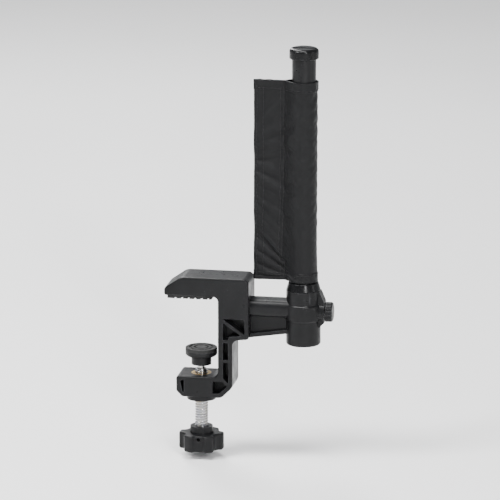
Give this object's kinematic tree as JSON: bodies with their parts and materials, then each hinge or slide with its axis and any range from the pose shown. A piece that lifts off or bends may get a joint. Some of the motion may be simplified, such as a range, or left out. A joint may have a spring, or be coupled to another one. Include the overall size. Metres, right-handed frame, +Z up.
{
  "type": "table tennis net clamp",
  "caption": "Black C-clamp with an arm, an upright post in a barrel with a side lock knob, and a black fabric net sleeve on the post.",
  "frame": {"origin": "on the upper jaw's rubber face, on the clamp screw's axis", "axes": "+X points out from the table towards the post, +Z up along the post, Y = 0 is the plane of symmetry"},
  "size_m": [0.1265, 0.0318, 0.3125],
  "materials": {
    "moulded_black": "satin moulded",
    "gloss_black": "gloss moulded",
    "knob_black": "fine spark texture",
    "pad_plate": "satin moulded",
    "black_paint": "semi-gloss powder coat",
    "black_fabric": "plain woven polyester",
    "black_rubber": "matt",
    "zinc_steel": "zinc plated",
    "brass": "turned",
    "nylon": "natural"
  },
  "bodies": {
    "frame": {"clamp_frame": "moulded_black", "upper_jaw_pad": "black_rubber", "jaw_thread_insert": "brass", "barrel_bush": "gloss_black", "barrel_end_cap": "moulded_black", "lock_thread_insert": "brass"},
    "swivel": {"swivel_ball": "zinc_steel"},
    "screw": {"clamp_screw": "zinc_steel", "clamp_knob": "knob_black", "clamp_knob_pin": "zinc_steel", "clamp_knob_cap": "moulded_black"},
    "pad": {"pressure_pad": "pad_plate", "pad_retaining_ring": "zinc_steel", "pressure_pad_rubber": "black_rubber"},
    "post": {"post_tube": "black_paint", "post_bottom_plug": "gloss_black", "post_top_cap": "gloss_black", "post_cap_screw": "zinc_steel", "net_sleeve": "black_fabric"},
    "lock_tip": {"lock_shoe": "nylon"},
    "lock": {"lock_screw": "zinc_steel", "lock_knob": "knob_black"}
  },
  "joints": [
    {"name": "pad_travel", "type": "slide", "parent": "frame", "child": "swivel", "axis": [0, 0, 1], "range_m": [-0.005, 0.02]},
    {"name": "screw_turn", "type": "hinge", "parent": "swivel", "child": "screw", "pos_m": [0, 0, -0.049], "axis": [0, 0, 1], "range_deg": [-900, 3600]},
    {"name": "pad_tilt", "type": "hinge", "parent": "swivel", "child": "pad", "pos_m": [0, 0, -0.049], "axis": [0, 1, 0], "range_deg": [-5, 5]},
    {"name": "post_height", "type": "slide", "parent": "frame", "child": "post", "axis": [0, 0, 1], "range_m": [0, 0.012]},
    {"name": "lock_travel", "type": "slide", "parent": "frame", "child": "lock_tip", "axis": [1, 0, 0], "range_m": [0, 0.0015]},
    {"name": "lock_turn", "type": "hinge", "parent": "lock_tip", "child": "lock", "pos_m": [0.078, 0, -0.0085], "axis": [1, 0, 0], "range_deg": [0, 540]}
  ],
  "couplings": [
    {"joint": "screw_turn", "follows": "pad_travel", "rad_per_m": 3141.6},
    {"joint": "lock_turn", "follows": "lock_travel", "rad_per_m": 6283.2}
  ]
}
